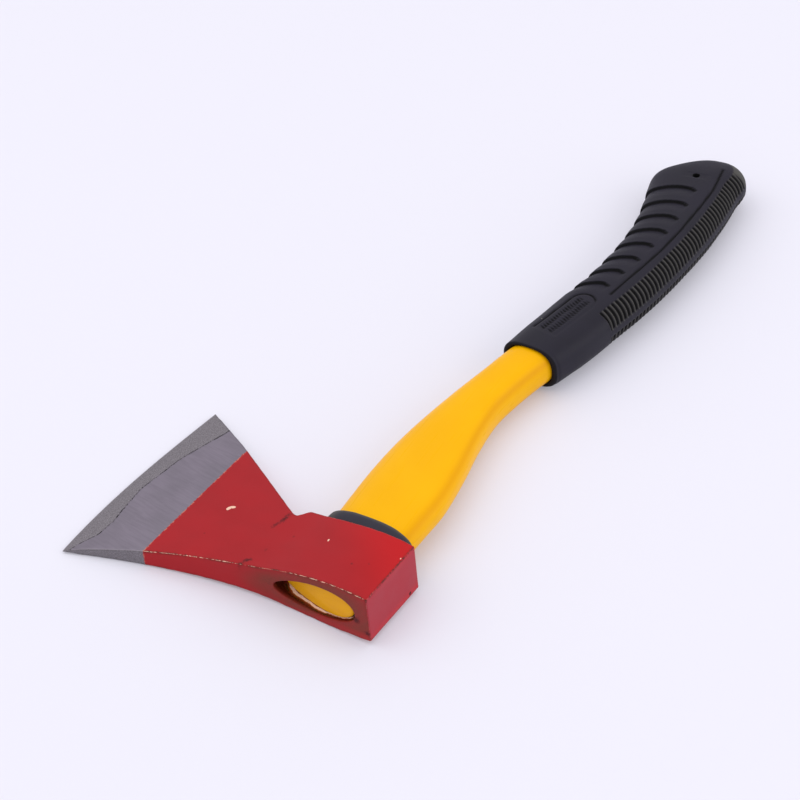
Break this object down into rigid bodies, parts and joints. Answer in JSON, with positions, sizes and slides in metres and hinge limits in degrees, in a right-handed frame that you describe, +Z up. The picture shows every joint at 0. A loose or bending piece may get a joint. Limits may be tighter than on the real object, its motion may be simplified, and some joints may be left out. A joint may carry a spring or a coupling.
{
  "type": "fire hatchet",
  "caption": "Short fire axe with a forged wedge head, flared bit and oval eye, on a curved plastic handle with a rubber collar and a ribbed rubber grip.",
  "frame": {"origin": "centre of the bounding box's bottom face: the floor under the axe as it lies on its side", "axes": "+X along the handle from the head to the grip, +Y from the poll towards the cutting edge, +Z up from the floor"},
  "size_m": [0.382, 0.147, 0.0271],
  "materials": {
    "red_enamel": "glossy red enamel on forged steel, chipped along the ridges, with the bit ground bright",
    "yellow_plastic": "smooth glossy moulded plastic",
    "fibreglass": "dull pultruded fibreglass",
    "epoxy": "glassy cured resin",
    "collar_rubber": "smooth satin rubber",
    "black_rubber": "matt moulded rubber with ribs and finger scallops"
  },
  "bodies": {
    "root": {"axe_head": "red_enamel", "handle_jacket": "yellow_plastic", "handle_core": "fibreglass", "eye_adhesive": "epoxy", "collar": "collar_rubber", "rubber_grip": "black_rubber"}
  },
  "joints": []
}
